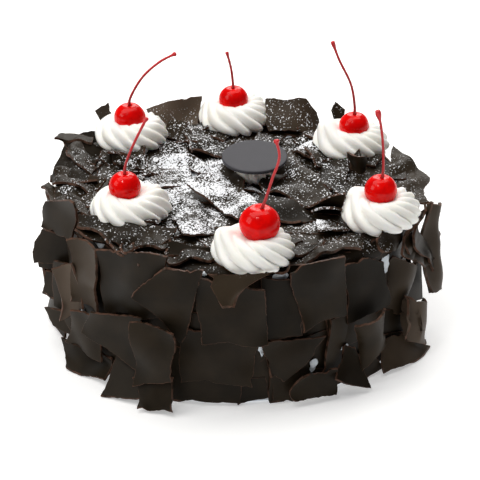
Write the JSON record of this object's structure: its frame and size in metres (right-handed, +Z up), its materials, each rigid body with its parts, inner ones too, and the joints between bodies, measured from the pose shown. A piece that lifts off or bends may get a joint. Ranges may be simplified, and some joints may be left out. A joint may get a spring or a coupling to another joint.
{
  "type": "black forest cake",
  "caption": "Round whole cream cake covered in broken dark chocolate sheets, with piped cream rosettes, stemmed red cherries and a small plain disc on top.",
  "frame": {"origin": "middle of the flat underside of the cake", "axes": "+Z up; +X to the right of someone who faces the front; the front looks along -Y"},
  "size_m": [0.2317, 0.2271, 0.1527],
  "materials": {
    "cream_and_chocolate": "cream-coated cake with thin dark chocolate sheets pressed into it, satin",
    "chocolate": "thin dark chocolate, satin, with paler broken edges and sugar dust on the top",
    "cream": "whipped cream, soft and matte",
    "cherry": "glossy preserved cherry with its stem",
    "plaque": "plain smooth grey disc"
  },
  "bodies": {
    "root": {"cake_body": "cream_and_chocolate", "centre_rosette": "cream", "cherry_1": "cherry", "cherry_2": "cherry", "cherry_3": "cherry", "cherry_4": "cherry", "cherry_5": "cherry", "cherry_6": "cherry", "plaque": "plaque", "rosette_1": "cream", "rosette_2": "cream", "rosette_3": "cream", "rosette_4": "cream", "rosette_5": "cream", "rosette_6": "cream", "side_shard_01": "chocolate", "side_shard_02": "chocolate", "side_shard_03": "chocolate", "side_shard_04": "chocolate", "side_shard_05": "chocolate", "side_shard_06": "chocolate", "side_shard_07": "chocolate", "side_shard_08": "chocolate", "side_shard_09": "chocolate", "side_shard_10": "chocolate", "side_shard_11": "chocolate", "side_shard_12": "chocolate", "side_shard_13": "chocolate", "side_shard_14": "chocolate", "side_shard_15": "chocolate", "side_shard_16": "chocolate", "side_shard_17": "chocolate", "side_shard_18": "chocolate", "side_shard_19": "chocolate", "side_shard_20": "chocolate", "side_shard_21": "chocolate", "side_shard_22": "chocolate", "side_shard_23": "chocolate", "side_shard_24": "chocolate", "side_shard_25": "chocolate", "top_sheet_01": "chocolate", "top_sheet_02": "chocolate", "top_sheet_03": "chocolate", "top_sheet_04": "chocolate", "top_sheet_05": "chocolate", "top_sheet_06": "chocolate", "top_sheet_07": "chocolate", "top_sheet_08": "chocolate", "top_sheet_09": "chocolate", "top_sheet_10": "chocolate", "top_sheet_11": "chocolate", "top_sheet_12": "chocolate", "top_sheet_13": "chocolate", "top_sheet_14": "chocolate", "top_sheet_15": "chocolate", "top_sheet_16": "chocolate", "top_sheet_17": "chocolate", "top_sheet_18": "chocolate", "top_sheet_19": "chocolate", "top_sheet_20": "chocolate"}
  },
  "joints": []
}
